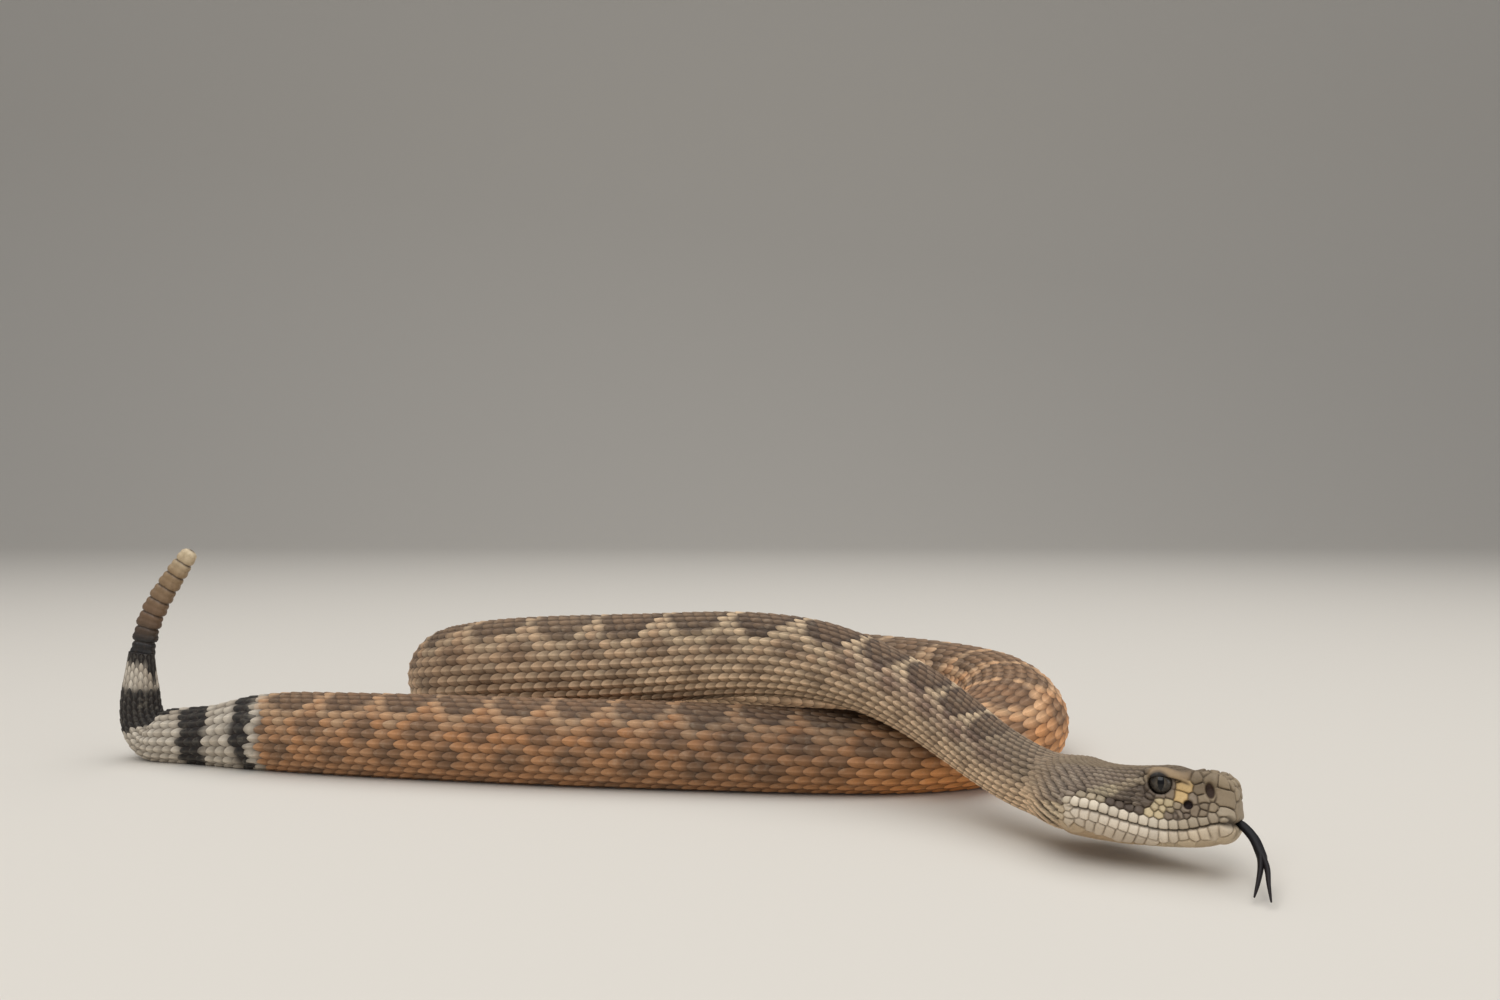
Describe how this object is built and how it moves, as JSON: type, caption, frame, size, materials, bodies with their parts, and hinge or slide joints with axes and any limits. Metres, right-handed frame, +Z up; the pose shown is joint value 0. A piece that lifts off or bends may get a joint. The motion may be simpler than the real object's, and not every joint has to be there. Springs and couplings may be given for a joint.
{
  "type": "western diamondback rattlesnake model",
  "caption": "Life-size still model of a western diamondback rattlesnake, loosely looped, head low with the forked tongue out and the rattle raised.",
  "frame": {"origin": "middle of the footprint, on the floor the belly lies on", "axes": "+X the way the head points and along the long side of the loop, +Y from the head's side to the far stretch of the body, +Z up"},
  "size_m": [0.3251, 0.2532, 0.0707],
  "materials": {
    "skin": "matte scaled skin",
    "eye": "wet gloss",
    "tongue": "moist satin",
    "rattle": "dry horn"
  },
  "bodies": {
    "root": {"head": "skin", "lower_jaw": "skin", "eye_right": "eye", "eye_left": "eye", "tongue": "tongue", "neck_01": "skin", "neck_02": "skin", "trunk_01": "skin", "trunk_02": "skin", "trunk_03": "skin", "trunk_04": "skin", "trunk_05": "skin", "trunk_06": "skin", "trunk_07": "skin", "trunk_08": "skin", "trunk_09": "skin", "trunk_10": "skin", "trunk_11": "skin", "trunk_12": "skin", "trunk_13": "skin", "trunk_14": "skin", "tail_01": "skin", "tail_02": "skin", "tail_03": "skin", "rattle_01": "rattle", "rattle_02": "rattle", "rattle_03": "rattle", "rattle_04": "rattle", "rattle_05": "rattle", "rattle_06": "rattle", "rattle_07": "rattle", "rattle_08": "rattle"}
  },
  "joints": []
}
